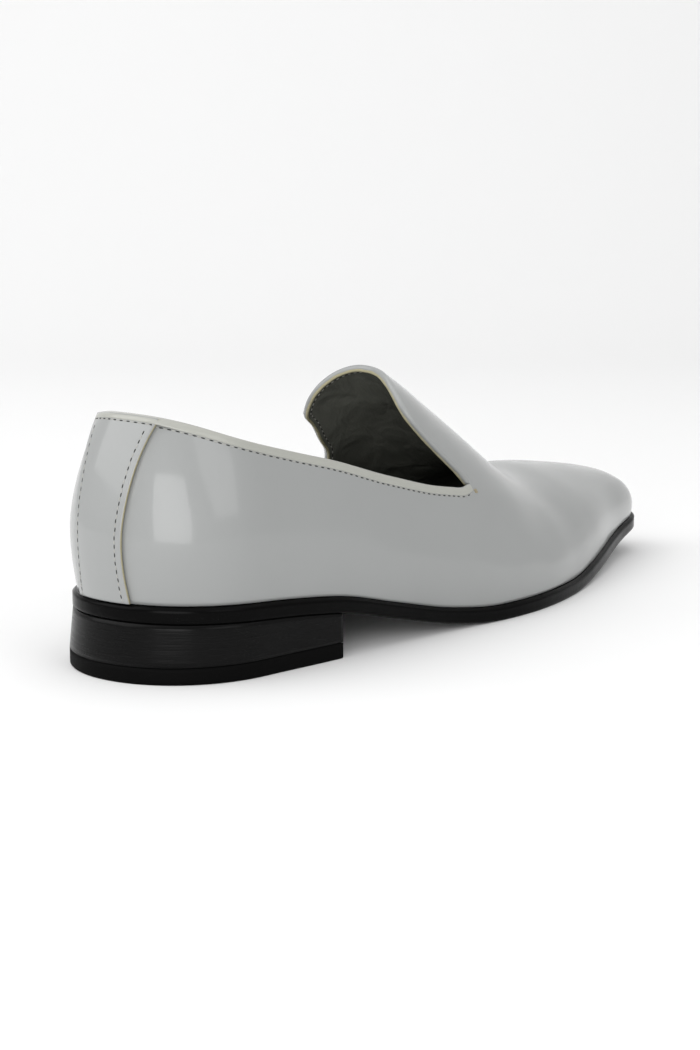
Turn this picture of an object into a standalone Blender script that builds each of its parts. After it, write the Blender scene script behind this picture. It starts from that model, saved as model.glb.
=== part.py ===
"""Right slip-on dress shoe with a rounded tongue, built piece by piece.

Metres, +Z up. The toe points along +Y and the outer side of the foot along +X.
While it is built, the heel's rearmost point is at y = 0, the line from there to the
toe tip is x = 0, and the floor is z = 0. At the end the whole shoe is moved so that
its origin is the middle of its footprint.
"""

import bmesh
import bpy
import numpy as np

# Overall sizes
SHOE_LENGTH = 0.2960
BALL_WIDTH = 0.0970
HEEL_WIDTH = 0.0690
INSTEP_HEIGHT = 0.0870         # highest line of the last, above the sole, where the ankle starts

# Sole and heel
SOLE_THICKNESS = 0.0052
SOLE_MARGIN = 0.0016           # how far the sole's edge stands outside the upper
EDGE_ROUNDING = 0.0009
LOWER_ROUNDING = 0.0004        # under the sole's edge, where the heel meets it
HEEL_HEIGHT = 0.0190           # from the floor to the sole, at the very back
HEEL_LENGTH = 0.0680
HEEL_FLARE = 0.0016            # at the foot of the very back, less towards the breast
HEEL_RECESS = 0.0003           # the stack stands this far inside the sole's edge
BREAST_HOLLOW = 0.0040
TOP_LIFT_THICKNESS = 0.0052
TOE_SPRING = 0.0110

# Upper
WALL = 0.0018
COLLAR_BACK_HEIGHT = 0.0592    # above the sole
COLLAR_SIDE_HEIGHT = 0.0410    # above the sole, at the front end of the opening
NOTCH_DISTANCE = 0.1410        # from the heel's back to the front end of the opening, outer side
NOTCH_LEAD = 0.0040            # how much further forward the opening ends on the inner side
NOTCH_ROUNDING = 0.0060
TONGUE_WIDTH = 0.0460
TONGUE_DISTANCE = 0.1180       # from the heel's back to the tongue's rearmost point

# Back strip
STRIP_WIDTH = 0.0220
STRIP_STOP = 0.0008            # how far below the collar it ends
STRIP_THICKNESS = 0.0009

# Insole
INSOLE_THICKNESS = 0.0024
INSOLE_CLEARANCE = 0.0006

GAP = 0.0003                   # between pieces that touch

# Ends of the outline: length of the rounding and how square it is
HEEL_ROUND = 0.0350
HEEL_SQUARE = 2.05
TOE_ROUND = 0.0170
TOE_SQUARE = 2.60

# Where the upper's side walls pass into its top: gauge at the notch and round the toe
SHOULDER_TOE = 0.62
SPLIT_LEAD = 0.0090            # the rib at the notch starts this far ahead of it on the sole

# Mesh fineness
QUARTER_COLUMNS = 26
VAMP_COLUMNS = 22
TOE_COLUMNS = 14
TONGUE_EDGE_POINTS = 8
WALL_ROWS = 11
OUTLINE_POINTS = 48
STRIP_COLUMNS = 8
STRIP_ROWS = 14
BREAST_POINTS = 5
MERGE_DISTANCE = 0.00001
SHARP_ANGLE = 40

# Sections of the last, from heel to toe.
# at: share of SHOE_LENGTH. size: the width that the half widths are shares of.
# outer, inner: half widths from x = 0 where the wall is widest.
# outer_foot, inner_foot: how much of that is left at the feather line, where the wall meets the sole.
# crown: sideways place of the highest line.
SECTION_NAMES = ("at", "size", "outer", "inner", "outer_foot", "inner_foot", "crown")
SECTIONS = (
    (0.00, HEEL_WIDTH, 0.510, 0.480, 0.94, 0.94, 0.000),
    (0.12, HEEL_WIDTH, 0.545, 0.490, 0.95, 0.95, 0.005),
    (0.22, HEEL_WIDTH, 0.605, 0.495, 0.96, 0.91, 0.010),
    (0.33, BALL_WIDTH, 0.458, 0.360, 0.96, 0.82, 0.010),
    (0.43, BALL_WIDTH, 0.490, 0.390, 0.97, 0.80, 0.000),
    (0.54, BALL_WIDTH, 0.520, 0.440, 0.98, 0.90, -0.010),
    (0.67, BALL_WIDTH, 0.462, 0.475, 0.98, 0.98, -0.030),
    (0.79, BALL_WIDTH, 0.345, 0.395, 0.98, 0.98, -0.030),
    (0.90, BALL_WIDTH, 0.222, 0.262, 0.97, 0.97, -0.010),
    (1.00, BALL_WIDTH, 0.140, 0.155, 0.97, 0.97, 0.000),
)

# Side view of the last. height: of the crown above the sole, as a share of INSTEP_HEIGHT.
# swell: share of that height where the wall is widest. fullness: how far the wall stays out as it rises.
PROFILE_NAMES = ("at", "height", "swell", "fullness")
PROFILE = (
    (0.00, 0.850, 0.27, 1.50),
    (0.12, 0.870, 0.26, 1.50),
    (0.25, 0.910, 0.23, 1.50),
    (0.38, 0.955, 0.18, 1.42),
    (0.42, 0.938, 0.17, 1.40),
    (0.47, 0.856, 0.16, 1.42),
    (0.53, 0.718, 0.15, 1.52),
    (0.59, 0.570, 0.14, 1.68),
    (0.66, 0.460, 0.14, 1.85),
    (0.74, 0.415, 0.15, 2.00),
    (0.84, 0.338, 0.18, 2.10),
    (0.93, 0.245, 0.21, 2.20),
    (1.00, 0.150, 0.22, 2.20),
)

# Under side of the sole: height above the floor as a share of the named size
UNDERSIDE_NAMES = ("at", "size", "height")
UNDERSIDE = (
    (0.00, HEEL_HEIGHT, 1.00),
    (0.12, HEEL_HEIGHT, 0.93),
    (0.22, HEEL_HEIGHT, 0.80),
    (0.32, HEEL_HEIGHT, 0.44),
    (0.41, HEEL_HEIGHT, 0.13),
    (0.49, HEEL_HEIGHT, 0.00),
    (0.66, TOE_SPRING, 0.00),
    (0.77, TOE_SPRING, 0.27),
    (0.89, TOE_SPRING, 0.66),
    (1.00, TOE_SPRING, 1.00),
)

# Collar in side view, from the back to the notch: share of the drop between the two named heights
COLLAR_NAMES = ("along", "drop")
COLLAR = (
    (0.00, 0.00),
    (0.07, 0.08),
    (0.21, 0.44),
    (0.34, 0.69),
    (0.48, 0.86),
    (0.64, 0.94),
    (0.82, 0.98),
    (1.00, 1.00),
)

# Tongue's edge in plan, from the middle of its top to the notch. half: share of TONGUE_WIDTH.
# ahead: share of the way forward from TONGUE_DISTANCE to the notch.
TONGUE_NAMES = ("outer_half", "outer_ahead", "inner_half", "inner_ahead")
TONGUE = (
    (0.00, 0.37, 0.00, 0.32),
    (0.11, 0.35, 0.11, 0.30),
    (0.22, 0.27, 0.22, 0.24),
    (0.35, 0.14, 0.34, 0.14),
    (0.47, 0.04, 0.44, 0.08),
    (0.57, 0.00, 0.50, 0.10),
    (0.65, 0.12, 0.54, 0.28),
    (0.72, 0.35, 0.60, 0.60),
    (0.78, 0.65, 0.64, 0.82),
)

# Back strip: half width as a share of STRIP_WIDTH, from the sole to the collar
STRIP_NAMES = ("rise", "half")
STRIP = (
    (0.00, 0.50),
    (0.25, 0.46),
    (0.50, 0.48),
    (0.75, 0.53),
    (1.00, 0.62),
)

UPPER_LOOK = ((0.62, 0.63, 0.62), 0.12)
STRIP_LOOK = ((0.64, 0.65, 0.64), 0.12)
INSOLE_LOOK = ((0.012, 0.012, 0.013), 0.60)
SOLE_LOOK = ((0.010, 0.010, 0.011), 0.30)
STACK_LOOK = ((0.012, 0.012, 0.013), 0.22)
LIFT_LOOK = ((0.014, 0.014, 0.015), 0.65)


def column(table, names, name):
    """One named column of a table as an array."""
    return np.array([row[names.index(name)] for row in table], float)


def spline(knots, values):
    """A natural cubic spline through the knots, returned as a function."""
    count = len(knots)
    steps = np.diff(knots)
    slopes = np.diff(values) / steps
    matrix = np.eye(count)
    right = np.zeros(count)
    for i in range(1, count - 1):
        matrix[i, i - 1:i + 2] = (steps[i - 1], 2 * (steps[i - 1] + steps[i]), steps[i])
        right[i] = 6 * (slopes[i] - slopes[i - 1])
    bend = np.linalg.solve(matrix, right)

    def read(at):
        at = np.clip(np.asarray(at, float), knots[0], knots[-1])
        i = np.clip(np.searchsorted(knots, at) - 1, 0, count - 2)
        before = knots[i + 1] - at
        after = at - knots[i]
        step = steps[i]
        return ((bend[i] * before ** 3 + bend[i + 1] * after ** 3) / (6 * step)
                + (values[i] / step - bend[i] * step / 6) * before
                + (values[i + 1] / step - bend[i + 1] * step / 6) * after)

    return read


def steady(knots, values):
    """A smooth curve through the knots that never swings past them, so level stretches stay level."""
    steps = np.diff(knots)
    slopes = np.diff(values) / steps
    tangents = np.zeros(len(knots))
    tangents[0] = slopes[0]
    tangents[-1] = slopes[-1]
    same_way = slopes[:-1] * slopes[1:] > 0
    inner = np.zeros(len(slopes) - 1)
    inner[same_way] = 2 / (1 / slopes[:-1][same_way] + 1 / slopes[1:][same_way])
    tangents[1:-1] = inner

    def read(at):
        at = np.clip(np.asarray(at, float), knots[0], knots[-1])
        i = np.clip(np.searchsorted(knots, at) - 1, 0, len(steps) - 1)
        step = steps[i]
        u = (at - knots[i]) / step
        return ((1 + 2 * u) * (1 - u) ** 2 * values[i] + u * (1 - u) ** 2 * step * tangents[i]
                + u ** 2 * (3 - 2 * u) * values[i + 1] - u ** 2 * (1 - u) * step * tangents[i + 1])

    return read


SECTION_Y = column(SECTIONS, SECTION_NAMES, "at") * SHOE_LENGTH
SECTION_SIZE = column(SECTIONS, SECTION_NAMES, "size")
outer_half = spline(SECTION_Y, column(SECTIONS, SECTION_NAMES, "outer") * SECTION_SIZE)
inner_half = spline(SECTION_Y, column(SECTIONS, SECTION_NAMES, "inner") * SECTION_SIZE)
outer_foot = spline(SECTION_Y, column(SECTIONS, SECTION_NAMES, "outer_foot"))
inner_foot = spline(SECTION_Y, column(SECTIONS, SECTION_NAMES, "inner_foot"))
crown_x = spline(SECTION_Y, column(SECTIONS, SECTION_NAMES, "crown") * SECTION_SIZE)

PROFILE_Y = column(PROFILE, PROFILE_NAMES, "at") * SHOE_LENGTH
crown_height = spline(PROFILE_Y, column(PROFILE, PROFILE_NAMES, "height") * INSTEP_HEIGHT)
swell = spline(PROFILE_Y, column(PROFILE, PROFILE_NAMES, "swell"))
fullness = spline(PROFILE_Y, column(PROFILE, PROFILE_NAMES, "fullness"))

underside_z = steady(column(UNDERSIDE, UNDERSIDE_NAMES, "at") * SHOE_LENGTH,
                     column(UNDERSIDE, UNDERSIDE_NAMES, "height") * column(UNDERSIDE, UNDERSIDE_NAMES, "size"))

collar_drop = spline(column(COLLAR, COLLAR_NAMES, "along"), column(COLLAR, COLLAR_NAMES, "drop"))
strip_half = spline(column(STRIP, STRIP_NAMES, "rise"), column(STRIP, STRIP_NAMES, "half"))


def seat_z(y):
    """Height of the feather line, where the upper stands on the sole."""
    return underside_z(y) + SOLE_THICKNESS + GAP


def end_share(y):
    """How far a place is into the rounding of the heel or the toe, and how square that rounding is."""
    y = np.asarray(y, float)
    heel = np.clip((HEEL_ROUND - y) / HEEL_ROUND, 0, None)
    toe = np.clip((y - SHOE_LENGTH + TOE_ROUND) / TOE_ROUND, 0, None)
    return np.maximum(heel, toe), np.where(y < SHOE_LENGTH / 2, HEEL_SQUARE, TOE_SQUARE)


def half_width(side, y):
    """Widest half width, from the crown's line, on the outer (+1) or inner (-1) side."""
    crown = crown_x(y)
    return np.where(np.asarray(side) > 0, outer_half(y) - crown, inner_half(y) + crown)


def gauge_of(x, y):
    """0 under the crown, 1 where the wall is widest, more outside it."""
    across = np.asarray(x) - crown_x(y)
    share = np.abs(across) / half_width(across, y)
    end, square = end_share(y)
    return (share ** square + end ** square) ** (1 / square)


def rise_above(gauge, y):
    """Share of the crown's height where the wall leans in to a gauge, above its widest line."""
    level = np.clip(gauge, 0, 1)
    return swell(y) + (1 - swell(y)) * (1 - level ** 2) ** (1 / fullness(y))


def rise_below(gauge, y, foot):
    """Share of the crown's height where the wall reaches a gauge below its widest line."""
    return swell(y) * (1 - np.sqrt(np.clip((1 - gauge) / (1 - foot), 0, 1)))


def gauge_at(rise, side, y):
    """Gauge of the wall at a share of the crown's height."""
    low = swell(y)
    above = np.clip(1 - (np.clip(rise - low, 0, None) / (1 - low)) ** fullness(y), 0, None) ** (1 / 2)
    below = 1 - (1 - feather_gauge(side, y)) * (np.clip(low - rise, 0, None) / low) ** 2
    return np.where(rise > low, above, below)


def wall_x(side, y, gauge):
    """Sideways place of the wall at a gauge."""
    end, square = end_share(y)
    share = np.clip(gauge ** square - end ** square, 0, None) ** (1 / square)
    return crown_x(y) + side * half_width(side, y) * share


def height_at(rise, y):
    """Height above the floor at a share of the crown's height."""
    return seat_z(y) + rise * crown_height(y)


def resample(points, shares):
    """Points at the given shares of a line's length."""
    run = np.concatenate([[0], np.cumsum(np.linalg.norm(np.diff(points, axis=0), axis=1))])
    return np.stack([np.interp(np.asarray(shares) * run[-1], run, points[:, k]) for k in range(points.shape[1])], 1)


def feather_gauge(side, y):
    """Gauge of the wall where it meets the sole."""
    return np.where(np.asarray(side) > 0, outer_foot(y), inner_foot(y))


def widest_gauge(side, y):
    """Gauge of the wall where it is widest."""
    return np.ones_like(y) * abs(side)


def outline_side(side, level, start=0.0, stop=1.0, fine=600):
    """Plan line round one side at the gauge that level gives, between two shares from heel to toe."""
    y = SHOE_LENGTH * (1 - np.cos(np.linspace(0, np.pi, 2 * fine))) / 2
    gauge = level(side, y)
    inset, _ = end_share(y)
    inside = gauge > inset
    first = np.interp(0, (gauge - inset)[:fine], y[:fine])
    last = np.interp(0, (gauge - inset)[:fine:-1], y[:fine:-1])
    line = np.vstack([
        (crown_x(first), first),
        np.stack([wall_x(side, y[inside], gauge[inside]), y[inside]], 1),
        (crown_x(last), last),
    ])
    return line[(line[:, 1] >= start * SHOE_LENGTH) & (line[:, 1] <= stop * SHOE_LENGTH)]


def collar_height(side, y):
    """Height of the collar above the sole on one side."""
    end = NOTCH_DISTANCE + (NOTCH_LEAD if side < 0 else 0)
    return COLLAR_BACK_HEIGHT + (COLLAR_SIDE_HEIGHT - COLLAR_BACK_HEIGHT) * collar_drop(y / end)


def collar_side(side, fine=600):
    """Plan of the collar on one side, from the middle of the back to the notch."""
    y = (NOTCH_DISTANCE + (NOTCH_LEAD if side < 0 else 0)) * np.linspace(0, 1, fine) ** 2
    gauge = gauge_at(collar_height(side, y) / crown_height(y), side, y)
    inset, _ = end_share(y)
    inside = gauge >= inset
    back = np.interp(0, (gauge - inset)[:fine // 2], y[:fine // 2])
    return np.vstack([[crown_x(back), back], np.stack([wall_x(side, y[inside], gauge[inside]), y[inside]], 1)])


def tongue_side(side, notch, fine=300):
    """Plan of the tongue's edge on one side, from the notch to the middle of its top."""
    name = "outer" if side > 0 else "inner"
    half = column(TONGUE, TONGUE_NAMES, name + "_half") * TONGUE_WIDTH
    ahead = column(TONGUE, TONGUE_NAMES, name + "_ahead") * (notch[1] - TONGUE_DISTANCE)
    knots = np.vstack([np.stack([crown_x(TONGUE_DISTANCE) + side * half, TONGUE_DISTANCE + ahead], 1), notch])[::-1]
    run = np.concatenate([[0], np.cumsum(np.linalg.norm(np.diff(knots, axis=0), axis=1))])
    at = np.linspace(0, run[-1], fine)
    return np.stack([spline(run, knots[:, 0])(at), spline(run, knots[:, 1])(at)], 1)


def topline_side(side):
    """Plan of the collar and of the tongue's edge on one side as two lines that share a rounded notch."""
    collar = collar_side(side)
    tongue = tongue_side(side, collar[-1])
    collar_cut = np.argmax(np.linalg.norm(collar - collar[-1], axis=1) < NOTCH_ROUNDING)
    tongue_cut = np.argmax(np.linalg.norm(tongue - tongue[0], axis=1) > NOTCH_ROUNDING)
    u = np.linspace(0, 1, 41)[:, None]
    bend = (1 - u) ** 2 * collar[collar_cut] + 2 * u * (1 - u) * collar[-1] + u ** 2 * tongue[tongue_cut]
    middle = len(bend) // 2
    return (np.vstack([collar[:collar_cut], bend[:middle + 1]]),
            np.vstack([bend[middle:], tongue[tongue_cut + 1:]]))


def shoulder_side(side, notch, fine=400):
    """Plan of the line from the notch to the middle of the toe where the side wall passes into the top."""
    y = notch[1] + (SHOE_LENGTH - notch[1]) * (1 - np.cos(np.linspace(0, np.pi, fine))) / 2
    first = float(gauge_of(*notch))
    gauge = first + (SHOULDER_TOE - first) * (y - notch[1]) / (SHOE_LENGTH - notch[1])
    inset, _ = end_share(y)
    inside = gauge >= inset
    tip = np.interp(0, -(gauge - inset)[fine // 2:], y[fine // 2:])
    line = np.stack([wall_x(side, y[inside], gauge[inside]), y[inside]], 1)
    return np.vstack([notch, line[1:], [crown_x(tip), tip]])


def rib(foot, widest, top, shares):
    """Points up the wall: from a plan point on the feather line out to the widest line, then in to the top."""
    low = foot + (widest - foot) * np.sin(np.linspace(0, np.pi / 2, 40))[:, None]
    high = widest + (top - widest) * (1 - np.cos(np.linspace(0, np.pi / 2, 400)))[:, None]
    low_rise = rise_below(gauge_of(low[:, 0], low[:, 1]), low[:, 1], gauge_of(*foot))
    high_rise = rise_above(gauge_of(high[:, 0], high[:, 1]), high[:, 1])
    points = np.vstack([
        np.column_stack([low, height_at(low_rise, low[:, 1])]),
        np.column_stack([high, height_at(high_rise, high[:, 1])])[1:],
    ])
    points[0, 2] = seat_z(foot[1])
    return resample(points, shares)


def upper_plan(side):
    """Plan points of one side: the ribs' feet, widest places and tops, then the tongue's edge and brow."""
    collar, tongue = topline_side(side)
    notch = collar[-1]
    quarter = np.linspace(0, 1, QUARTER_COLUMNS + 1)
    front = np.linspace(0, 1, VAMP_COLUMNS + TOE_COLUMNS // 2 + 1)
    tops = np.vstack([resample(collar, quarter), resample(shoulder_side(side, notch), front)[1:]])
    split = (notch[1] + SPLIT_LEAD) / SHOE_LENGTH
    lines = []
    for level in (feather_gauge, widest_gauge):
        back = resample(outline_side(side, level, stop=split), quarter)
        lines.append(np.vstack([back, resample(outline_side(side, level, start=split), front)[1:]]))
    corner = np.argmin(tongue[:, 1])
    edge = resample(tongue[:corner + 1], np.linspace(0, 1, TONGUE_EDGE_POINTS + 1))
    brow = resample(tongue[corner:], np.linspace(0, 1, TOE_COLUMNS // 2 + 1))
    return (*lines, tops), edge, brow


def patch(left, right, first, last):
    """A grid of plan points inside four edges: each point blends its places along and across."""
    u = np.linspace(0, 1, len(first))[None, :, None]
    v = np.linspace(0, 1, len(left))[:, None, None]
    across = (1 - u) * left[:, None] + u * right[:, None]
    along = (1 - v) * first[None] + v * last[None]
    corners = ((1 - u) * (1 - v) * left[0] + u * (1 - v) * right[0] + (1 - u) * v * left[-1] + u * v * right[-1])
    return across + along - corners


def upper_skin():
    """Outer skin of the upper: a ring of ribs up to the collar and shoulder, and the top with the tongue."""
    outer_ribs, outer_edge, outer_brow = upper_plan(1)
    inner_ribs, inner_edge, inner_brow = upper_plan(-1)
    rows = np.linspace(0, 1, WALL_ROWS + 1)
    outer_wall = [rib(*places, rows) for places in zip(*outer_ribs)]
    inner_wall = [rib(*places, rows) for places in zip(*inner_ribs)]
    wall = np.array(outer_wall + inner_wall[-2:0:-1]).transpose(1, 0, 2)
    far = QUARTER_COLUMNS + VAMP_COLUMNS
    plan = patch(
        np.vstack([outer_edge[::-1], outer_ribs[2][QUARTER_COLUMNS + 1:far + 1]]),
        np.vstack([inner_edge[::-1], inner_ribs[2][QUARTER_COLUMNS + 1:far + 1]]),
        np.vstack([outer_brow, inner_brow[-2::-1]]),
        np.vstack([outer_ribs[2][far:], inner_ribs[2][-2:far - 1:-1]]),
    )
    height = height_at(rise_above(gauge_of(plan[..., 0], plan[..., 1]), plan[..., 1]), plan[..., 1])
    return wall, np.dstack([plan, height])


def look(name, colour, roughness):
    """A plain material with a piece's colour and shine."""
    material = bpy.data.materials.new(name)
    material.use_nodes = True
    shader = material.node_tree.nodes["Principled BSDF"]
    shader.inputs["Base Color"].default_value = (*colour, 1)
    shader.inputs["Roughness"].default_value = roughness
    return material


def add_piece(name, shape, finish):
    """Turn a finished mesh into a named object with its own material."""
    bmesh.ops.recalc_face_normals(shape, faces=shape.faces)
    mesh = bpy.data.meshes.new(name)
    shape.to_mesh(mesh)
    shape.free()
    mesh.shade_smooth()
    mesh.set_sharp_from_angle(angle=np.radians(SHARP_ANGLE))
    mesh.materials.append(look(name, *finish))
    piece = bpy.data.objects.new(name, mesh)
    bpy.context.scene.collection.objects.link(piece)
    return piece


def add_grid(shape, grid, closed):
    """Add a grid of points as faces; closed joins each row's end to its start."""
    rows = [[shape.verts.new(point) for point in row] for row in grid]
    count = len(rows[0])
    for low, high in zip(rows, rows[1:]):
        for i in range(count if closed else count - 1):
            j = (i + 1) % count
            shape.faces.new((low[i], low[j], high[j], high[i]))
    return rows


def close_end(shape, ring, last):
    """Close a ring with faces from side to side; last is the index of the point across from the first."""
    count = len(ring)
    for i in range(count // 2):
        corners = dict.fromkeys((ring[i], ring[i + 1], ring[(last - i - 1) % count], ring[(last - i) % count]))
        if len(corners) > 2:
            shape.faces.new(corners)


def loft(name, rings, finish, last=0):
    """Bridge closed rings into one body and close both of its ends."""
    shape = bmesh.new()
    rows = add_grid(shape, rings, True)
    close_end(shape, rows[0], last)
    close_end(shape, rows[-1], last)
    return add_piece(name, shape, finish)


def thicken(shape, wall):
    """Give a skin a wall: a second skin inside it, and a rim along every open edge."""
    shape.normal_update()
    faces = list(shape.faces)
    rims = [[loop for loop in edge.link_loops] for edge in shape.edges if edge.is_boundary]
    borders = [(loops[0].vert, loops[0].link_loop_next.vert) for loops in rims]
    inside = {vertex: shape.verts.new(vertex.co - vertex.normal * wall) for vertex in list(shape.verts)}
    for face in faces:
        shape.faces.new([inside[vertex] for vertex in reversed(face.verts)])
    for a, b in borders:
        shape.faces.new((b, a, inside[a], inside[b]))
    return inside


def closed_outline(points=OUTLINE_POINTS):
    """Plan of the whole feather line as a ring: from the back along the outer side to the toe and home."""
    shares = np.linspace(0, 1, points + 1)
    outer = resample(outline_side(1, feather_gauge), shares)
    inner = resample(outline_side(-1, feather_gauge), shares)
    return np.vstack([outer, inner[-2:0:-1]])


def grown(ring, amount):
    """A plan ring moved outwards by an amount, which may differ from point to point."""
    along = np.roll(ring, -1, axis=0) - np.roll(ring, 1, axis=0)
    normal = np.stack([along[:, 1], -along[:, 0]], 1)
    normal /= np.linalg.norm(normal, axis=1, keepdims=True)
    return ring + normal * np.reshape(amount, (-1, 1))


def make_upper():
    """The hollow leather wall with its tongue, open at the collar and under the foot."""
    wall, top = upper_skin()
    shape = bmesh.new()
    feet = add_grid(shape, wall, True)[0]
    add_grid(shape, top, False)
    bmesh.ops.remove_doubles(shape, verts=shape.verts, dist=MERGE_DISTANCE)
    bmesh.ops.recalc_face_normals(shape, faces=shape.faces)
    inside = thicken(shape, WALL)
    for foot in feet:
        inside[foot].co.z = seat_z(inside[foot].co.y)
    return add_piece("upper", shape, UPPER_LOOK)


def make_back_strip():
    """The strip over the back seam, cut from the wall's own shape one gap and one thickness out."""
    rise = np.linspace(0, 1, STRIP_ROWS + 1)
    across = np.linspace(-1, 1, STRIP_COLUMNS + 1)
    grid = []
    for share in rise:
        row = []
        for place in across:
            x = crown_x(0.0) + place * strip_half(share) * STRIP_WIDTH
            y = 0.0
            for _ in range(12):
                height = share * (collar_height(place, y) - STRIP_STOP)
                gauge = gauge_at(height / crown_height(y), place, y)
                wide = abs(x - crown_x(y)) / half_width(place, y)
                y = float(HEEL_ROUND * (1 - (gauge ** HEEL_SQUARE - wide ** HEEL_SQUARE) ** (1 / HEEL_SQUARE)))
            row.append((x, y, float(height_at(height / crown_height(y), y))))
        grid.append(row)
    grid = np.array(grid)
    along = np.gradient(grid, axis=1)
    up = np.gradient(grid, axis=0)
    normal = np.cross(along, up)
    normal /= np.linalg.norm(normal, axis=2, keepdims=True)
    near = grid + normal * GAP
    far = grid + normal * (GAP + STRIP_THICKNESS)
    near[0, :, 2] = grid[0, :, 2]
    far[0, :, 2] = grid[0, :, 2]
    rings = [np.vstack([high, low[::-1]]) for high, low in zip(far, near)]
    return loft("back_strip", rings, STRIP_LOOK, last=-1)


def make_outsole():
    """The sole from heel seat to toe, its edge rounded above and below."""
    outline = grown(closed_outline(), SOLE_MARGIN)
    levels = (
        (-LOWER_ROUNDING, 0.0),
        (0.0, LOWER_ROUNDING),
        (0.0, SOLE_THICKNESS - EDGE_ROUNDING),
        (-EDGE_ROUNDING, SOLE_THICKNESS),
    )
    rings = []
    for inset, height in levels:
        ring = grown(outline, inset)
        rings.append(np.column_stack([ring, underside_z(ring[:, 1]) + height]))
    return loft("outsole", rings, SOLE_LOOK)


def make_insole():
    """The sock on the sole, inside the upper."""
    outline = grown(closed_outline(), -(WALL + INSOLE_CLEARANCE))
    rings = []
    for inset, height in ((0.0, 0.0), (0.0, INSOLE_THICKNESS)):
        ring = grown(outline, inset)
        rings.append(np.column_stack([ring, seat_z(ring[:, 1]) + height]))
    return loft("insole", rings, INSOLE_LOOK)


def heel_plan(flare, inset=HEEL_RECESS):
    """Plan ring of the heel: round the back of the sole's outline and across the hollow breast."""
    outline = grown(closed_outline(4 * OUTLINE_POINTS), SOLE_MARGIN)
    fade = np.clip(1 - outline[:, 1] / HEEL_LENGTH, 0, 1)
    outline = grown(outline, flare * fade - inset)
    half = len(outline) // 2
    outer = outline[:half]
    inner = outline[:half:-1]
    outer = outer[outer[:, 1] < HEEL_LENGTH]
    inner = inner[inner[:, 1] < HEEL_LENGTH]
    shares = np.linspace(0, 1, OUTLINE_POINTS // 2 + 1)
    outer = resample(outer, shares)
    inner = resample(np.vstack([outline[0], inner]), shares)
    across = np.linspace(1, -1, BREAST_POINTS + 2)[1:-1]
    middle = (outer[-1] + inner[-1]) / 2
    span = (outer[-1] - inner[-1]) / 2
    breast = middle + across[:, None] * span - np.column_stack([0 * across, BREAST_HOLLOW * (1 - across ** 2)])
    return np.vstack([outer, breast, inner[:0:-1]])


def make_heel_stack():
    """The heel block under the sole, a little wider at its foot."""
    foot = TOP_LIFT_THICKNESS + GAP
    rings = []
    for share in (0.0, 0.5, 1.0):
        ring = heel_plan(HEEL_FLARE * (1 - share))
        top = underside_z(ring[:, 1]) - GAP
        rings.append(np.column_stack([ring, foot + (top - foot) * share]))
    return loft("heel_stack", rings, STACK_LOOK)


def make_top_lift():
    """The flat layer that meets the floor."""
    rings = []
    for extra, height in ((EDGE_ROUNDING / 2, 0.0), (0.0, EDGE_ROUNDING / 2), (0.0, TOP_LIFT_THICKNESS)):
        ring = heel_plan(HEEL_FLARE, HEEL_RECESS + extra)
        rings.append(np.column_stack([ring, np.full(len(ring), height)]))
    return loft("top_lift", rings, LIFT_LOOK)


def move_to_middle(pieces):
    """Put the origin at the middle of the footprint."""
    points = np.array([vertex.co for piece in pieces for vertex in piece.data.vertices])
    low = points.min(axis=0)
    high = points.max(axis=0)
    shift = (*(-(low + high)[:2] / 2), 0.0)
    for piece in pieces:
        for vertex in piece.data.vertices:
            vertex.co += type(vertex.co)(shift)


def main():
    for item in list(bpy.data.objects):
        bpy.data.objects.remove(item)
    pieces = [
        make_upper(),
        make_back_strip(),
        make_insole(),
        make_outsole(),
        make_heel_stack(),
        make_top_lift(),
    ]
    move_to_middle(pieces)


main()
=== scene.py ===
"""Looks of a right slip-on dress shoe in pale patent leather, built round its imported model."""

from functools import lru_cache
from math import exp, pi, radians, sin

import bmesh
import bpy
import numpy as np
from bpy.props import FloatProperty, FloatVectorProperty, IntProperty, PointerProperty
from mathutils import Matrix, Vector
from mathutils.bvhtree import BVHTree


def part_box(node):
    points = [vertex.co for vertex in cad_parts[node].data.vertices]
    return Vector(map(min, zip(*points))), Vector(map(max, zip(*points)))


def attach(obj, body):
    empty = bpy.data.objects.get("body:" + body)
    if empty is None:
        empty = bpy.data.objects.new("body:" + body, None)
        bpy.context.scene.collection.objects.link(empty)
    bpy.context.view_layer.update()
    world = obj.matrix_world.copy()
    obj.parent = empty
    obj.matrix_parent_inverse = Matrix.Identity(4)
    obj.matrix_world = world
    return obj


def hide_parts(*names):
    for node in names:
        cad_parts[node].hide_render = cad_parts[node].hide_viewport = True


bl_info = {
    "name": "Slip-on dress shoe",
    "version": (1, 0, 0),
    "blender": (4, 5, 0),
    "location": "View3D > Sidebar > Shoe",
    "description": "Builds the leather, edges, stitches, sole and studio of a slip-on dress shoe",
    "category": "Object",
}

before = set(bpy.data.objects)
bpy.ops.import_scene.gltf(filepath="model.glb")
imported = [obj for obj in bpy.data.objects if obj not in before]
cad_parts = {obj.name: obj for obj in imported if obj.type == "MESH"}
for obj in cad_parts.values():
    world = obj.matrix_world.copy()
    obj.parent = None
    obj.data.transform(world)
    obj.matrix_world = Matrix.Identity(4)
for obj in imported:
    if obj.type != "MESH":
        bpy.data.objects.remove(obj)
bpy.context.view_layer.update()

# Bends in degrees past which two faces of the wall, of the strip or of another piece meet at an edge.
WALL_BEND = 32
STRIP_BEND = 50
PIECE_BEND = 35

# Two triangles join to a quad if they bend less than this, and its corners are no further from square.
QUAD_BEND = 25
QUAD_SKEW = 100

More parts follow.
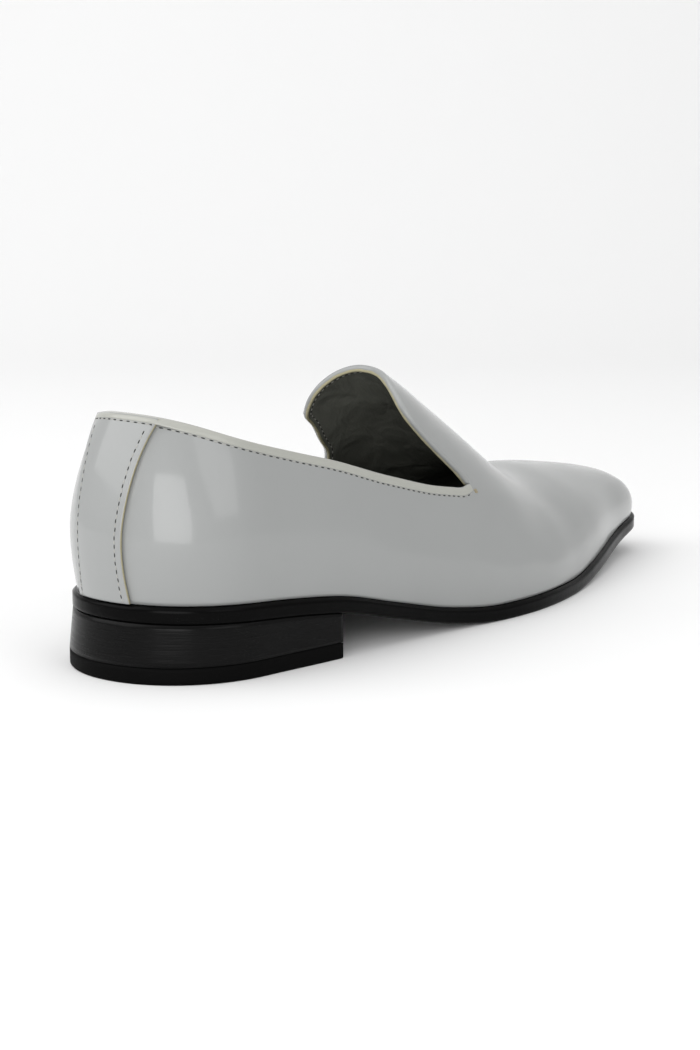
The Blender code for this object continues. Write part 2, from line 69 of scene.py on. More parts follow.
# Lengths in metres.
MERGED = 1e-6  # Vertices nearer than this are one.
PROBE = 0.003  # How far beside an edge the wall is searched for.
RIM = 0.0006  # Nearer to its edge than this the wall is already rounded off.
BAND_STEP = 0.0015  # From one ring of a folded edge to the next.
STRIP_CUT = 0.0012  # The strip's cut edges are narrower than this.
THREAD_RISE = 0.00034  # Height of a stitch.
# The dark bead between two stitches is painted shade of the sunken needle hole.
GAP_RISE = 0.00016  # Height of the dark gap between two stitches.

NORMALS_EASED = 4  # Neighbours on each side that a normal is averaged with.
BAND_EASED = 2  # Neighbours on each side that a band's height is averaged with.
CURVE_STEPS = 12  # Steps of a smooth curve between two of its points.
FADED = 6  # Where a hollow has faded away, in squared reaches from its middle.
WAVE_RATE = 20  # Radians that the wave texture turns through per unit.

# Soft hollows pressed into the upper: middle, reach along the foot, reach round it and depth, in metres.
# A negative depth is a ridge.
HOLLOWS = (
    ((0.040, -0.066, 0.040), 0.030, 0.016, 0.0009),
    ((0.043, -0.020, 0.026), 0.026, 0.012, -0.0007),
    ((-0.036, -0.060, 0.042), 0.030, 0.016, 0.0008),
    ((0.006, 0.050, 0.043), 0.010, 0.024, 0.0007),
    ((0.032, -0.118, 0.052), 0.012, 0.022, -0.0005),
)

# Soft lights aimed at the shoe: place and width in metres. Their strengths are settings.
LIGHTS = {
    "key": ((-0.9, -1.3, 1.3), 1.9),
    "fill": ((1.5, -0.2, 0.9), 0.9),
    "front": ((0.85, -1.4, 0.30), 1.0),
    "overhead": ((0.1, 0.2, 1.8), 2.4),
}

# The camera stands behind the shoe on its outer side, a little above the floor.
CAMERA_PLACE = (0.4046, -0.5119, 0.1442)
CAMERA_TILT = 79.9
CAMERA_TURN = 40.05


def length_setting(name, words, value):
    """A length in metres that a user may change."""
    return FloatProperty(name=name, description=words, default=value, min=0.0, unit="LENGTH", precision=4)


def colour_setting(name, words, value):
    """A colour that a user may change."""
    return FloatVectorProperty(name=name, description=words, default=value, min=0.0, max=1.0,
                               subtype="COLOR")


def share_setting(name, words, value, most=1.0):
    """A plain number that a user may change."""
    return FloatProperty(name=name, description=words, default=value, min=0.0, max=most)


class UpperSettings(bpy.types.PropertyGroup):
    """Leather wall, lining and edges."""

    patent: colour_setting("Patent leather", "Colour of the glossy outside", (0.300, 0.307, 0.304))
    shaded: colour_setting("Patent leather, deeper", "Second tone that clouds the outside",
                           (0.280, 0.287, 0.284))
    folded: colour_setting("Folded edge", "Colour of the folded collar edge", (0.360, 0.362, 0.330))
    lining: colour_setting("Lining", "Colour of the lining leather", (0.085, 0.087, 0.074))
    cut_edge: colour_setting("Cut edge", "Colour where leather is cut through", (0.430, 0.395, 0.250))
    gloss: share_setting("Lacquer", "Strength of the clear lacquer", 0.70)
    fold_height: length_setting("Fold height", "Height of the folded collar edge", 0.0028)
    fold_bulge: length_setting("Fold bulge", "How far a fold stands out", 0.0003)
    tongue_fold: length_setting("Tongue fold", "How far the leather folds in round the tongue", 0.0004)
    cut_width: length_setting("Cut edge width", "Width of the lining's cut edge round the tongue", 0.0010)


class StitchSettings(bpy.types.PropertyGroup):
    """Seams."""

    thread: colour_setting("Thread", "Colour of the thread", (0.400, 0.400, 0.370))
    # Painted shade: this colour stands for the shadow inside each sunken needle hole.
    hole_shade: colour_setting("Needle hole", "Colour of the holes between stitches", (0.030, 0.030, 0.028))
    pitch: length_setting("Pitch", "From one stitch to the next", 0.0026)
    length: length_setting("Length", "Length of the thread that shows", 0.0012)
    gap: length_setting("Gap", "Length of the dark gap between threads", 0.0014)
    thickness: length_setting("Thickness", "Thickness of the thread", 0.00045)
    collar_inset: length_setting("Collar row", "Distance of the collar's row from the edge", 0.0031)
    tongue_inset: length_setting("Tongue row", "Distance of the tongue's row from the edge", 0.0022)
    strip_inset: length_setting("Strip rows", "Distance of the strip's rows from its edges", 0.0020)
    bar: colour_setting("Bar tack", "Colour of the bar at the opening's end", (0.350, 0.300, 0.200))


class SoleSettings(bpy.types.PropertyGroup):
    """Sole, heel and insole."""

    edge: colour_setting("Sole edge", "Colour of the polished sole edge", (0.0011, 0.0011, 0.0011))
    under: colour_setting("Under side", "Colour under the sole", (0.0060, 0.0060, 0.0062))
    stack: colour_setting("Heel stack", "Colour of the heel's layers", (0.0018, 0.0018, 0.0018))
    lift: colour_setting("Top lift", "Colour of the heel's lowest layer", (0.0010, 0.0010, 0.0010))
    insole: colour_setting("Insole", "Colour of the insole", (0.003, 0.003, 0.003))
    layer: length_setting("Layer", "Thickness of one layer of the heel", 0.0022)


class StageSettings(bpy.types.PropertyGroup):
    """Floor, light and camera."""

    floor: colour_setting("Floor", "Colour of floor and backdrop", (0.87, 0.87, 0.87))
    key: share_setting("Key light", "Strength of the large light", 20.0, 200.0)
    fill: share_setting("Fill light", "Strength of the light beside the shoe", 4.0, 200.0)
    front: share_setting("Front light", "Strength of the low light by the camera", 12.0, 200.0)
    overhead: share_setting("Overhead light", "Strength of the light above", 10.0, 200.0)
    sky: share_setting("Surround", "Strength of the even light", 0.60, 5.0)
    lens: FloatProperty(name="Lens", description="Focal length in millimetres", default=62.0, min=10.0)
    segments: IntProperty(name="Cove steps", description="Steps in the backdrop's curve", default=12, min=3)


def settings(name):
    """One group of the scene's shoe settings."""
    return getattr(bpy.context.scene, "shoe_" + name)


# Materials


def new_material(name):
    """An empty material: its tree, its shader and its object coordinates."""
    material = bpy.data.materials.new(name)
    material.use_nodes = True
    tree = material.node_tree
    coordinates = tree.nodes.new("ShaderNodeTexCoord")
    return material, tree, tree.nodes["Principled BSDF"], coordinates.outputs["Object"]


def add_node(tree, kind, options=None, **inputs):
    """Add a node, set its options, and set or link its inputs: by name, or by number after a leading _."""
    made = tree.nodes.new(kind)
    for name, value in (options or {}).items():
        setattr(made, name, value)
    for name, value in inputs.items():
        socket = made.inputs[int(name[1:])] if name[0] == "_" else made.inputs[name.replace("_", " ")]
        if isinstance(value, bpy.types.NodeSocket):
            tree.links.new(value, socket)
        else:
            socket.default_value = value
    return made


def noise(tree, place, size, detail=2.0, roughness=0.5, distortion=0.0):
    """Cloudy pattern with features of a size in metres."""
    made = add_node(tree, "ShaderNodeTexNoise", Vector=place, Scale=1 / size, Detail=detail,
                    Roughness=roughness, Distortion=distortion)
    return made.outputs["Fac"]


def toned(colour, factor):
    """A lighter or darker tone of a colour."""
    return tuple(min(1.0, part * factor) for part in colour)


def paint(tree, shader, share, first, second):
    """Colour the surface with two tones, mixed by a pattern's share."""
    made = add_node(tree, "ShaderNodeMix", {"data_type": "RGBA"}, _0=share, _6=(*first, 1), _7=(*second, 1))
    tree.links.new(made.outputs[2], shader.inputs["Base Color"])


def relief(tree, shader, heights):
    """Stack bumps of given depths in metres on the shader's surface and its coat."""
    surface = None
    for height, depth in heights:
        bump = add_node(tree, "ShaderNodeBump", Height=height, Distance=depth, Strength=1.0)
        if surface:
            tree.links.new(surface, bump.inputs["Normal"])
        surface = bump.outputs["Normal"]
    tree.links.new(surface, shader.inputs["Normal"])
    tree.links.new(surface, shader.inputs["Coat Normal"])


def set_shader(shader, **values):
    """Set constants on the shader's own sockets."""
    for name, value in values.items():
        shader.inputs[name.replace("_", " ")].default_value = value


def vary_roughness(tree, shader, share, middle, spread):
    """Roughness that drifts about a middle value with a pattern."""
    made = add_node(tree, "ShaderNodeMapRange", Value=share, To_Min=middle - spread, To_Max=middle + spread)
    tree.links.new(made.outputs["Result"], shader.inputs["Roughness"])


def patent_leather(name, first, second, gloss):
    """Pale leather under a clear lacquer, with faint waves in it."""
    material, tree, shader, place = new_material(name)
    clouds = noise(tree, place, 0.070)
    paint(tree, shader, clouds, first, second)
    vary_roughness(tree, shader, clouds, 0.34, 0.06)
    set_shader(shader, IOR=1.5, Specular_IOR_Level=0.25, Coat_Weight=gloss, Coat_Roughness=0.09,
               Coat_IOR=1.4)
    waves = noise(tree, place, 0.045, detail=1.0)
    peel = noise(tree, place, 0.0022)
    relief(tree, shader, ((waves, 0.0034), (peel, 0.000006)))
    return material


def lining_leather(colour):
    """Soft dark lining with fine grain and wrinkles."""
    material, tree, shader, place = new_material("lining_leather")
    clouds = noise(tree, place, 0.018, detail=4.0)
    paint(tree, shader, clouds, colour, toned(colour, 1.7))
    vary_roughness(tree, shader, clouds, 0.58, 0.08)
    stretched = add_node(tree, "ShaderNodeMapping", Vector=place, Scale=(1.0, 0.6, 0.35))
    wrinkles = noise(tree, stretched.outputs["Vector"], 0.008, distortion=0.5)
    grain = add_node(tree, "ShaderNodeTexVoronoi", Vector=place, Scale=1 / 0.0009)
    relief(tree, shader, ((wrinkles, 0.0022), (grain.outputs["Distance"], 0.00006)))
    return material


def cut_leather(name, colour):
    """Raw edge where leather has been cut through."""
    material, tree, shader, place = new_material(name)
    fibres = noise(tree, place, 0.0012, detail=3.0, roughness=0.7)
    paint(tree, shader, fibres, toned(colour, 0.55), colour)
    vary_roughness(tree, shader, fibres, 0.85, 0.08)
    relief(tree, shader, ((fibres, 0.0002),))
    return material


def waxed_thread(name, colour, roughness=0.6):
    """Twisted thread."""
    material, tree, shader, place = new_material(name)
    twist = noise(tree, place, 0.0005)
    paint(tree, shader, twist, toned(colour, 0.7), colour)
    vary_roughness(tree, shader, twist, roughness, 0.08)
    relief(tree, shader, ((twist, 0.00008),))
    return material


def polished_edge(name, colour, roughness, coat):
    """Dyed and burnished sole leather."""
    material, tree, shader, place = new_material(name)
    clouds = noise(tree, place, 0.012, detail=3.0)
    paint(tree, shader, clouds, colour, toned(colour, 1.6))
    vary_roughness(tree, shader, clouds, roughness, roughness * 0.25)
    set_shader(shader, IOR=1.25, Specular_IOR_Level=0.15, Coat_Weight=coat, Coat_Roughness=0.12,
               Coat_IOR=1.25)
    grain = noise(tree, place, 0.0016)
    relief(tree, shader, ((grain, 0.00003), (clouds, 0.00012)))
    return material


def stacked_heel(colour, layer):
    """Glossy heel with the fine level lines of its layers."""
    material, tree, shader, place = new_material("heel_layers")
    options = {"bands_direction": "Z", "wave_profile": "SAW"}
    bands = add_node(tree, "ShaderNodeTexWave", options, Vector=place, Scale=2 * pi / WAVE_RATE / layer,
                     Distortion=0.25, Detail=1.0)
    drag = add_node(tree, "ShaderNodeMapping", Vector=place, Scale=(0.05, 0.05, 1.0))
    streaks = noise(tree, drag.outputs["Vector"], 0.0006)
    paint(tree, shader, streaks, colour, toned(colour, 2.4))
    vary_roughness(tree, shader, streaks, 0.26, 0.06)
    set_shader(shader, IOR=1.25, Specular_IOR_Level=0.25, Coat_Weight=0.1, Coat_Roughness=0.10,
               Coat_IOR=1.25)
    relief(tree, shader, ((bands.outputs["Fac"], 0.00010), (streaks, 0.00006)))
    return material


def rubber_lift(colour):
    """Matte black lift with fine speckle."""
    material, tree, shader, place = new_material("lift_rubber")
    speckle = noise(tree, place, 0.0008, detail=3.0, roughness=0.7)
    paint(tree, shader, speckle, colour, toned(colour, 1.8))
    vary_roughness(tree, shader, speckle, 0.62, 0.08)
    set_shader(shader, Specular_IOR_Level=0.05)
    relief(tree, shader, ((speckle, 0.00008),))
    return material


def insole_leather(colour):
    """Black sock with fine grain."""
    material, tree, shader, place = new_material("insole_leather")
    clouds = noise(tree, place, 0.020, detail=3.0)
    paint(tree, shader, clouds, colour, toned(colour, 2.0))
    vary_roughness(tree, shader, clouds, 0.55, 0.08)
    grain = add_node(tree, "ShaderNodeTexVoronoi", Vector=place, Scale=1 / 0.0010)
    relief(tree, shader, ((grain.outputs["Distance"], 0.00008), (clouds, 0.0004)))
    return material


# Meshes


def model_shape(node):
    """A merged copy of one of the model's solids, with its triangles joined to quads."""
    shape = bmesh.new()
    shape.from_mesh(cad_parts[node].data)
    shape.edges.layers.float.new("crease_edge")
    bmesh.ops.remove_doubles(shape, verts=shape.verts, dist=MERGED)
    bmesh.ops.join_triangles(shape, faces=shape.faces, angle_face_threshold=radians(QUAD_BEND),
                             angle_shape_threshold=radians(QUAD_SKEW), topology_influence=1.0)
    shape.normal_update()
    return shape


def bends_sharply(edge, limit):
    """Whether an edge's two faces meet at more than a limit in degrees."""
    return len(edge.link_faces) == 2 and edge.calc_face_angle(0.0) > radians(limit)


def linked_groups(items, neighbours):
    """Groups of items that reach each other through their neighbours, in the same order each run."""
    waiting = dict.fromkeys(items)
    groups = []
    while waiting:
        group = [waiting.popitem()[0]]
        for item in group:
            for other in neighbours(item):
                if other in waiting:
                    del waiting[other]
                    group.append(other)
        groups.append(group)
    return groups


def smooth_regions(shape, limit):
    """Groups of faces that join without a sharp edge, largest area first."""
    def joined(face):
        soft = (edge for edge in face.edges if not bends_sharply(edge, limit))
        return [other for edge in soft for other in edge.link_faces]

    groups = linked_groups(shape.faces, joined)
    return sorted(groups, key=lambda group: -sum(face.calc_area() for face in group))


def crease(shape, edges, amount):
    """Hold edges against the smoothing."""
    layer = shape.edges.layers.float["crease_edge"]
    for edge in edges:
        edge[layer] = amount


def add_piece(name, shape, materials):
    """Turn a mesh into a piece of the shoe that rides on its one body."""
    mesh = bpy.data.meshes.new(name)
    shape.to_mesh(mesh)
    shape.free()
    mesh.shade_smooth()
    for material in materials:
        mesh.materials.append(material)
    piece = bpy.data.objects.new(name, mesh)
    bpy.context.scene.collection.objects.link(piece)
    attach(piece, "root")
    return piece


def round_off(piece, levels):
    """Smooth a piece with a subdivision surface and keep the result as its mesh."""
    modifier = piece.modifiers.new("Rounding", "SUBSURF")
    modifier.levels = levels
    modifier.render_levels = levels
    depsgraph = bpy.context.evaluated_depsgraph_get()
    old = piece.data
    fine = bpy.data.meshes.new_from_object(piece.evaluated_get(depsgraph))
    fine.name = old.name
    piece.modifiers.clear()
    piece.data = fine
    bpy.data.meshes.remove(old)


def dressed_solid(node, name, materials, pick=None, limit=PIECE_BEND, hold=1.0):
    """A finer, rounded copy of one of the model's solids that stands for it. Pick gives a face's finish."""
    shape = model_shape(node)
    if pick:
        for face in shape.faces:
            face.material_index = pick(face)
    crease(shape, [edge for edge in shape.edges if bends_sharply(edge, limit)], hold)
    piece = add_piece(name, shape, materials)
    round_off(piece, 2)
    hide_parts(node)
    return piece


def ring_order(edges):
    """The vertices of a closed chain of edges, one after the other."""
    follow = {}
    for edge in edges:
        for vertex in edge.verts:
            follow.setdefault(vertex, []).append(edge.other_vert(vertex))
    start = edges[0].verts[0]
    chain = [start, follow[start][0]]
    while chain[-1] is not start:
        here = chain[-1]
        chain.append(next(other for other in follow[here] if other is not chain[-2]))
    return chain[:-1]


def smooth_line(points, step):
    """An even run of points a step apart on a smooth curve through some points."""
    padded = np.vstack([2 * points[0] - points[1], points, 2 * points[-1] - points[-2]])
    fine = []
    for before, first, second, after in zip(padded, padded[1:], padded[2:], padded[3:]):
        for u in np.linspace(0, 1, CURVE_STEPS, endpoint=False):
            fine.append(0.5 * (2 * first + (second - before) * u
                               + (2 * before - 5 * first + 4 * second - after) * u ** 2
                               + (3 * first - before - 3 * second + after) * u ** 3))
    fine = np.array(fine + [points[-1]])
    run = np.concatenate([[0], np.cumsum(np.linalg.norm(np.diff(fine, axis=0), axis=1))])
    count = max(2, round(run[-1] / step))
    places = np.linspace(0, run[-1], count + 1)
    return np.stack([np.interp(places, run, fine[:, k]) for k in range(3)], 1)


def highest_ring(border):
    """The ring of border edges whose highest vertex is highest of all."""
    def joined(edge):
        return [other for vertex in edge.verts for other in vertex.link_edges]

    rings = linked_groups(border, joined)
    return max(rings, key=lambda ring: max(vertex.co.z for edge in ring for vertex in edge.verts))


def notch(points, side):
    """Which point of the opening's edge lies foremost on the outer side (1) or the inner side (-1)."""
    return int(np.argmax(np.where(points[:, 0] * side > 0, points[:, 1], -1)))


@lru_cache(maxsize=None)
def outer_skin():
    """The upper's outside as a search tree, and its collar edge and tongue edge from notch to notch."""
    shape = model_shape("upper")
    outside = set(smooth_regions(shape, WALL_BEND)[0])
    border = [edge for edge in shape.edges if len(outside.intersection(edge.link_faces)) == 1]
    points = np.array([vertex.co[:] for vertex in ring_order(highest_ring(border))])
    shape.verts.index_update()
    faces = [[vertex.index for vertex in face.verts] for face in shape.faces if face in outside]
    skin = BVHTree.FromPolygons([vertex.co.copy() for vertex in shape.verts], faces)
    shape.free()
    points = np.roll(points, -notch(points, 1), axis=0)
    inner = notch(points, -1)
    if points[:inner + 1, 1].min() > points[inner:, 1].min():
        # The ring ran round the tongue first, so it is turned to run round the collar first.
        points = np.roll(points[::-1], 1, axis=0)
        inner = len(points) - inner
    return skin, points[:inner + 1], np.vstack([points[inner:], points[:1]])


def surface_tree(*names):
    """A search tree over some pieces' surfaces."""
    points = []
    faces = []
    for name in names:
        mesh = bpy.data.objects[name].data
        start = len(points)
        points.extend(vertex.co[:] for vertex in mesh.vertices)
        faces.extend([start + index for index in face.vertices] for face in mesh.polygons)
    return BVHTree.FromPolygons(points, faces)


def shifted(values, reach):
    """Copies of some values, each shifted by up to a reach either way."""
    padded = np.pad(values, ((reach, reach), (0, 0)), mode="edge")
    return [padded[k:k + len(values)] for k in range(2 * reach + 1)]


def eased(values, reach):
    """Values averaged with their neighbours."""
    return np.mean(shifted(values, reach), axis=0)


def edge_frames(line, step):
    """Even points along the wall's edge, each with the ways along it, into the wall and out of the shoe."""
    skin = outer_skin()[0]
    points = smooth_line(line, step)
    along = np.gradient(points, axis=0)
    along /= np.linalg.norm(along, axis=1, keepdims=True)
    outward = eased(np.array([skin.find_nearest(point)[1][:] for point in points]), NORMALS_EASED)
    into = np.cross(along, outward)
    into /= np.linalg.norm(into, axis=1, keepdims=True)
    ahead, behind = (sum(skin.find_nearest(place)[3] for place in points + into * reach)
                     for reach in (PROBE, -PROBE))
    into *= 1 if ahead < behind else -1
    outward -= along * np.sum(outward * along, axis=1, keepdims=True)
    outward /= np.linalg.norm(outward, axis=1, keepdims=True)
    return [tuple(Vector(item) for item in row) for row in zip(points, along, into, outward)]


def on_wall(tree, frame_here, side, depth):
    """Where the wall's outside (side 1) or its lining (side -1) lies a depth away from the edge."""
    point, _, into, outward = frame_here
    return tree.ray_cast(point + into * depth + outward * side * PROBE * 2, -outward * side, PROBE * 4)[:2]


def wall_row(tree, frames, side, depth):
    """The wall's places and normals in a row along its edge."""
    row = [on_wall(tree, frame_here, side, depth) for frame_here in frames]
    return [item for item in row if item[0]]


def add_band(name, line, tree, side, profile, material, wander=0.0):
    """A band along the wall's edge: its profile holds depths from the edge and lifts off the wall."""
    frames = edge_frames(line, BAND_STEP)
    reached = np.zeros((len(frames), len(profile)))
    for i, frame_here in enumerate(frames):
        for k, (depth, _) in enumerate(profile):
            place, _ = on_wall(tree, frame_here, side, max(depth, RIM))
            if place:
                reached[i, k] = (place - frame_here[0]).dot(frame_here[3] * side)
    wall = eased(np.max(shifted(reached, BAND_EASED), axis=0), BAND_EASED)
    rings = []
    for i, ((point, _, into, outward), heights) in enumerate(zip(frames, wall)):
        # Two waves that don't fall together let a cut edge wander unevenly.
        edge = point + into * wander * sin(i * 1.3) * sin(i * 0.31)
        rings.append([edge + into * depth + outward * side * (height + lift)
                      for height, (depth, lift) in zip(heights, profile)])
    shape = bmesh.new()
    bmesh.ops.create_grid(shape, x_segments=len(profile), y_segments=len(rings) - 1, size=0.5)
    places = [place for ring in rings for place in (*ring, ring[0])]
    for vertex, place in zip(shape.verts, places, strict=True):
        vertex.co = place
    bmesh.ops.remove_doubles(shape, verts=shape.verts, dist=MERGED)
    bmesh.ops.holes_fill(shape, edges=[edge for edge in shape.edges if edge.is_boundary], sides=0)
    bmesh.ops.recalc_face_normals(shape, faces=shape.faces)
    piece = add_piece(name, shape, (material,))
    round_off(piece, 1)


def add_stitch(shape, place, way, facing, length, thickness, height, index):
    """One stitch: a flattened bead along a seam."""
    side = facing.cross(way).normalized()
    up = way.cross(side).normalized()
    turn = Matrix((way, side, up)).transposed().to_4x4()
    size = Matrix.Diagonal((length / 2, thickness / 2, height / 2, 1))
    matrix = Matrix.Translation(place) @ turn @ size
    made = bmesh.ops.create_icosphere(shape, subdivisions=2, radius=1.0, matrix=matrix)
    for face in {face for vertex in made["verts"] for face in vertex.link_faces}:
        face.material_index = index


def sew(shape, row, seam):
    """Sew a row: pale threads with a dark bead between each two, painted shade of the sunken needle hole.
    """
    points = np.array([place[:] for place, _ in row])
    for i, (way, (place, facing)) in enumerate(zip(np.gradient(points, axis=0), row)):
        along = Vector(way).normalized()
        # Every other bead is dark, painted shade of the sunken needle hole between two threads.
        if i % 2:
            add_stitch(shape, place, along, facing, seam.gap, seam.thickness, GAP_RISE, 1)
        else:
            add_stitch(shape, place, along, facing, seam.length, seam.thickness, THREAD_RISE, 0)


# Operators


class SHOE_OT_upper(bpy.types.Operator):
    """Make the leather wall with its lining"""

    bl_idname = "shoe.upper"
    bl_label = "Upper"

    def execute(self, context):
        choice = settings("upper")
        shape = model_shape("upper")
        outside, inside = smooth_regions(shape, WALL_BEND)[:2]
        for face in inside:
            face.material_index = 1
        crease(shape, [edge for edge in shape.edges if bends_sharply(edge, WALL_BEND)], 1.0)
        self.press(shape, set(outside))
        materials = (
            patent_leather("patent_leather", choice.patent, choice.shaded, choice.gloss),
            lining_leather(tuple(choice.lining)),
        )
        piece = add_piece("upper_leather", shape, materials)
        round_off(piece, 2)
        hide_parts("upper")
        return {"FINISHED"}

    @staticmethod
    def press(shape, outside):
        """Press the soft hollows and ridges into the outside."""
        skin = {vertex for vertex in shape.verts if all(face in outside for face in vertex.link_faces)}
        shifts = {}
        for middle, along, around, depth in HOLLOWS:
            for vertex in skin:
                away = vertex.co - Vector(middle)
                reach = (away.y / along) ** 2 + (away.x ** 2 + away.z ** 2) / around ** 2
                if reach < FADED:
                    shifts[vertex] = shifts.get(vertex, Vector()) - vertex.normal * depth * exp(-reach)
        for vertex, shift in shifts.items():
            vertex.co += shift


class SHOE_OT_back_strip(bpy.types.Operator):
    """Make the leather strip over the back seam, with its cut edges"""

    bl_idname = "shoe.back_strip"
    bl_label = "Back strip"

    def execute(self, context):
        choice = settings("upper")
        materials = (
            patent_leather("strip_leather", choice.patent, choice.shaded, choice.gloss),
            cut_leather("strip_cut_edge", tuple(choice.cut_edge)),
        )
        dressed_solid("back_strip", "strip_leather", materials, self.side_face, STRIP_BEND, 0.8)
        return {"FINISHED"}

    @staticmethod
    def side_face(face):
        """Cut edges are the narrow faces that look sideways."""
        narrow = min(edge.calc_length() for edge in face.edges) < STRIP_CUT
        return 1 if narrow and abs(face.normal.x) > 0.6 else 0


class SHOE_OT_folds(bpy.types.Operator):
    """Make the folded leather edges round the collar and the tongue, and the lining's cut edge"""

    bl_idname = "shoe.folds"
    bl_label = "Folded edges"

    def execute(self, context):
        choice = settings("upper")
        _, collar, tongue = outer_skin()
        over = surface_tree("upper_leather", "strip_leather")
        under = surface_tree("upper_leather")
        bulge = choice.fold_bulge
        folded = patent_leather("folded_edge", choice.folded, choice.folded, choice.gloss)
        add_band("collar_fold", collar, over, 1, self.fold(choice.fold_height, bulge), folded)
        turned = patent_leather("tongue_edge", choice.patent, choice.shaded, choice.gloss)
        add_band("tongue_fold", tongue, under, -1, self.fold(choice.tongue_fold, bulge), turned)
        raw = cut_leather("lining_cut_edge", tuple(choice.cut_edge))
        add_band("lining_edge", tongue, under, -1, self.cut(choice.cut_width, bulge), raw, 0.0001)
        return {"FINISHED"}

    @staticmethod
    def cut(width, bulge):
        """Depths and lifts of the lining's cut edge, which lies round the corner of the wall's rim."""
        low, middle, high = width * np.array((0.8, 0.3, -0.2))
        return (
            (low, -0.0004), (low, bulge * 2), (middle, bulge * 2.6),
            (high, bulge * 2.3), (high, -0.0006), (middle, -0.0008),
        )

    @staticmethod
    def fold(height, bulge):
        """Depths and lifts of a fold, from its lower edge over the top to the 2 mm wall's other side."""
        return (
            (height, -0.0003), (height, bulge * 0.6), (height * 0.8, bulge), (height * 0.4, bulge),
            (0.0, bulge * 0.6), (-0.0004, -0.0005), (-0.0003, -0.0014), (0.0004, -0.0021),
            (0.0014, -0.0020), (0.0014, -0.0010),
        )


class SHOE_OT_stitches(bpy.types.Operator):
    """Sew the rows along the collar, the tongue and the back strip, and the bar tacks"""

    bl_idname = "shoe.stitches"
    bl_label = "Stitches"

    def execute(self, context):
        seam = settings("stitches")
        _, collar, tongue = outer_skin()
        shape = bmesh.new()
        outside = surface_tree("upper_leather", "strip_leather", "collar_fold")
        lining = surface_tree("upper_leather")
        strip = surface_tree("strip_leather")
        round_collar = edge_frames(collar, seam.pitch / 2)
        round_tongue = edge_frames(tongue, seam.pitch / 2)
        inner = slice(2, -2)  # Rows stop a little short of the notches.
        sew(shape, wall_row(outside, round_collar[inner], 1, seam.collar_inset), seam)
        sew(shape, wall_row(lining, round_tongue[inner], -1, seam.tongue_inset), seam)
        for side in (1, -1):
            sew(shape, self.strip_row(strip, side, seam), seam)
        for frame_here in (round_collar[0], round_collar[-1]):
            self.bar_tack(shape, outside, frame_here)
        materials = (
            waxed_thread("thread", tuple(seam.thread)),
            # The needle holes' material is painted shade.
            waxed_thread("needle_hole", tuple(seam.hole_shade), 0.9),
            waxed_thread("bar_tack_thread", tuple(seam.bar)),
        )
        add_piece("stitches", shape, materials)
        return {"FINISHED"}

    @staticmethod
    def strip_row(tree, side, seam):
        """Places and normals in a row inside one long edge of the back strip, from the sole upwards."""
        low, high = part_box("back_strip")
        foot_margin, top_margin = 0.001, 0.004
        samples = 140

        def seen(x, z):
            """Where the strip is met from behind, and its normal there."""
            return tree.ray_cast(Vector((x, low.y - 0.02, z)), Vector((0, 1, 0)), 0.06)[:2]

        row = []
        for z in np.arange(low.z + foot_margin, high.z - top_margin, seam.pitch / 2):
            found = [x for x in np.linspace(low.x, high.x, samples) if seen(x, z)[0]]
            if found:
                edge = max(found) if side > 0 else min(found)
                row.append(seen(edge - side * seam.strip_inset, z))
        return [item for item in row if item[0]]

    @staticmethod
    def bar_tack(shape, tree, frame_here):
        """The small bar of three threads sewn at the end of the opening."""
        point, _, into, outward = frame_here
        length, thickness, rise = 0.0021, 0.0006, 0.0007
        below, ahead = 0.0030, Vector((0, 0.0010, 0))
        for shift in (-0.0005, 0.0, 0.0005):
            spot = point + into * (below + shift) + outward * 0.001 + ahead
            place, facing, _, _ = tree.find_nearest(spot)
            way = Vector((0, 1, 0)) - facing * facing.y
            add_stitch(shape, place, way.normalized(), facing, length, thickness, rise, 2)


class SHOE_OT_sole(bpy.types.Operator):
    """Make the sole, heel, lift and insole"""

    bl_idname = "shoe.sole"
    bl_label = "Sole and heel"

    def execute(self, context):
        choice = settings("sole")
        edge = polished_edge("sole_edge", tuple(choice.edge), 0.22, 0.04)
        under = polished_edge("sole_under", tuple(choice.under), 0.55, 0.0)
        dressed_solid("outsole", "sole_leather", (edge, under), self.faces_down)
        heel = stacked_heel(tuple(choice.stack), choice.layer)
        dressed_solid("heel_stack", "heel_layers", (heel,))
        lift = rubber_lift(tuple(choice.lift))
        dressed_solid("top_lift", "lift_rubber", (lift,))
        sock = insole_leather(tuple(choice.insole))
        dressed_solid("insole", "insole_sock", (sock,))
        return {"FINISHED"}

    @staticmethod
    def faces_down(face):
        """The under side of the sole has its own finish."""
        return 1 if face.normal.z < -0.8 else 0


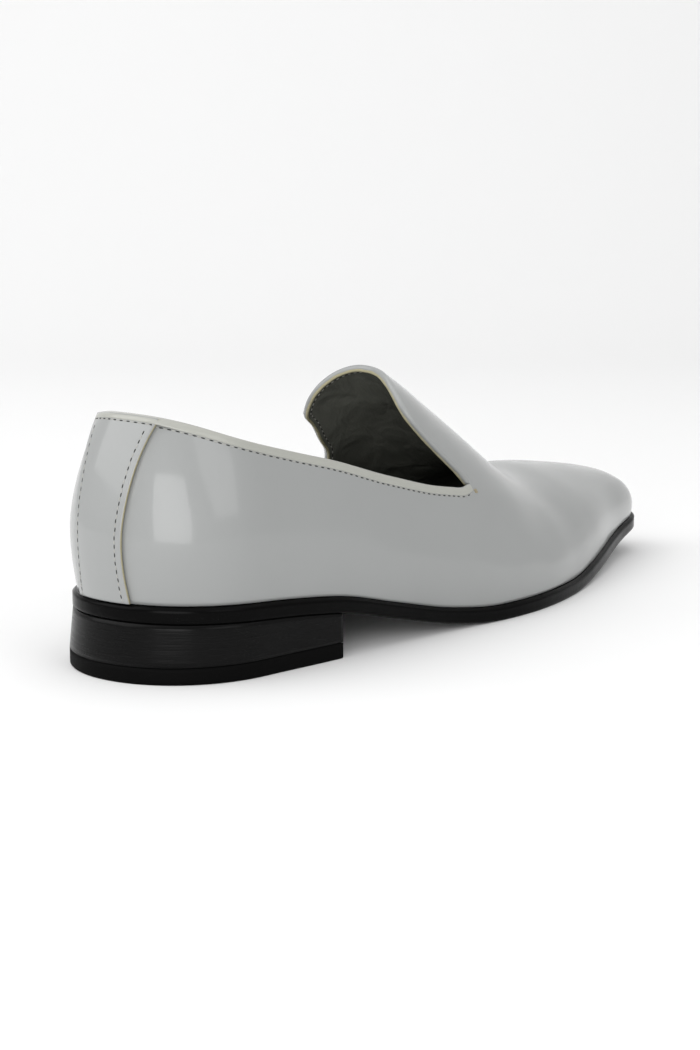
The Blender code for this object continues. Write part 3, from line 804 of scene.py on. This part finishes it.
class SHOE_OT_stage(bpy.types.Operator):
    """Set the floor, lights and camera"""

    bl_idname = "shoe.stage"
    bl_label = "Stage"

    def execute(self, context):
        choice = settings("stage")
        self.floor(choice)
        for name, (place, size) in LIGHTS.items():
            self.light(name, place, size, getattr(choice, name))
        world = bpy.data.worlds.new("surround")
        world.use_nodes = True
        background = world.node_tree.nodes["Background"]
        background.inputs["Color"].default_value = (1, 1, 1, 1)
        background.inputs["Strength"].default_value = choice.sky
        context.scene.world = world
        context.scene.view_settings.view_transform = "Standard"
        self.camera(context, choice)
        return {"FINISHED"}

    @staticmethod
    def floor(choice):
        """A floor that curves up into a backdrop."""
        width, back, height, cove = 9.0, 1.8, 2.2, 0.8
        turn = Matrix.Rotation(radians(43), 3, "Z")
        shape = bmesh.new()
        bmesh.ops.create_grid(shape, x_segments=1, y_segments=1, size=width / 2)
        far = [edge for edge in shape.edges if all(vertex.co.y > 0 for vertex in edge.verts)]
        for vertex in far[0].verts:
            vertex.co.y = back
        made = bmesh.ops.extrude_edge_only(shape, edges=far)["geom"]
        top = [item for item in made if isinstance(item, bmesh.types.BMVert)]
        bmesh.ops.translate(shape, verts=top, vec=(0, 0, height))
        bend = [edge for edge in shape.edges if len(edge.link_faces) == 2]
        bmesh.ops.bevel(shape, geom=bend, offset=cove, segments=choice.segments, profile=0.5,
                        affect="EDGES", material=-1)
        bmesh.ops.rotate(shape, verts=shape.verts, matrix=turn)
        mesh = bpy.data.meshes.new("floor")
        shape.to_mesh(mesh)
        shape.free()
        mesh.shade_smooth()
        material, _, shader, _ = new_material("floor_paper")
        set_shader(shader, Base_Color=(*choice.floor, 1), Roughness=0.9)
        mesh.materials.append(material)
        floor = bpy.data.objects.new("floor", mesh)
        bpy.context.scene.collection.objects.link(floor)

    @staticmethod
    def light(name, place, size, strength):
        """A square soft light aimed at the shoe."""
        data = bpy.data.lights.new(name, "AREA")
        data.size = size
        data.energy = strength
        lamp = bpy.data.objects.new(name, data)
        lamp.location = place
        lamp.rotation_euler = (-Vector(place)).to_track_quat("-Z", "Y").to_euler()
        bpy.context.scene.collection.objects.link(lamp)

    @staticmethod
    def camera(context, choice):
        """The photo's camera."""
        data = bpy.data.cameras.new("camera")
        data.lens = choice.lens
        camera = bpy.data.objects.new("camera", data)
        camera.location = CAMERA_PLACE
        camera.rotation_euler = (radians(CAMERA_TILT), 0, radians(CAMERA_TURN))
        context.scene.collection.objects.link(camera)
        context.scene.camera = camera


class SHOE_PT_panel(bpy.types.Panel):
    """Lists the shoe's pieces."""

    bl_label = "Slip-on shoe"
    bl_idname = "SHOE_PT_panel"
    bl_space_type = "VIEW_3D"
    bl_region_type = "UI"
    bl_category = "Shoe"

    def draw(self, context):
        for operator in OPERATORS:
            self.layout.operator(operator.bl_idname)
        for name, group in GROUPS.items():
            box = self.layout.box()
            for key in group.__annotations__:
                box.prop(settings(name), key)


GROUPS = {"upper": UpperSettings, "stitches": StitchSettings, "sole": SoleSettings, "stage": StageSettings}
OPERATORS = (
    SHOE_OT_stage, SHOE_OT_upper, SHOE_OT_back_strip, SHOE_OT_folds, SHOE_OT_sole, SHOE_OT_stitches,
)
CLASSES = (*GROUPS.values(), *OPERATORS, SHOE_PT_panel)


def register():
    """Register the classes and add the settings to the scene."""
    for item in CLASSES:
        bpy.utils.register_class(item)
    for name, group in GROUPS.items():
        setattr(bpy.types.Scene, "shoe_" + name, PointerProperty(type=group))


def unregister():
    """Remove the settings and the classes."""
    for name in GROUPS:
        delattr(bpy.types.Scene, "shoe_" + name)
    for item in reversed(CLASSES):
        bpy.utils.unregister_class(item)


def main():
    """Build the shoe and its studio."""
    register()
    bpy.ops.shoe.stage()
    bpy.ops.shoe.upper()
    bpy.ops.shoe.back_strip()
    bpy.ops.shoe.folds()
    bpy.ops.shoe.sole()
    bpy.ops.shoe.stitches()


if __name__ == "__main__":
    main()
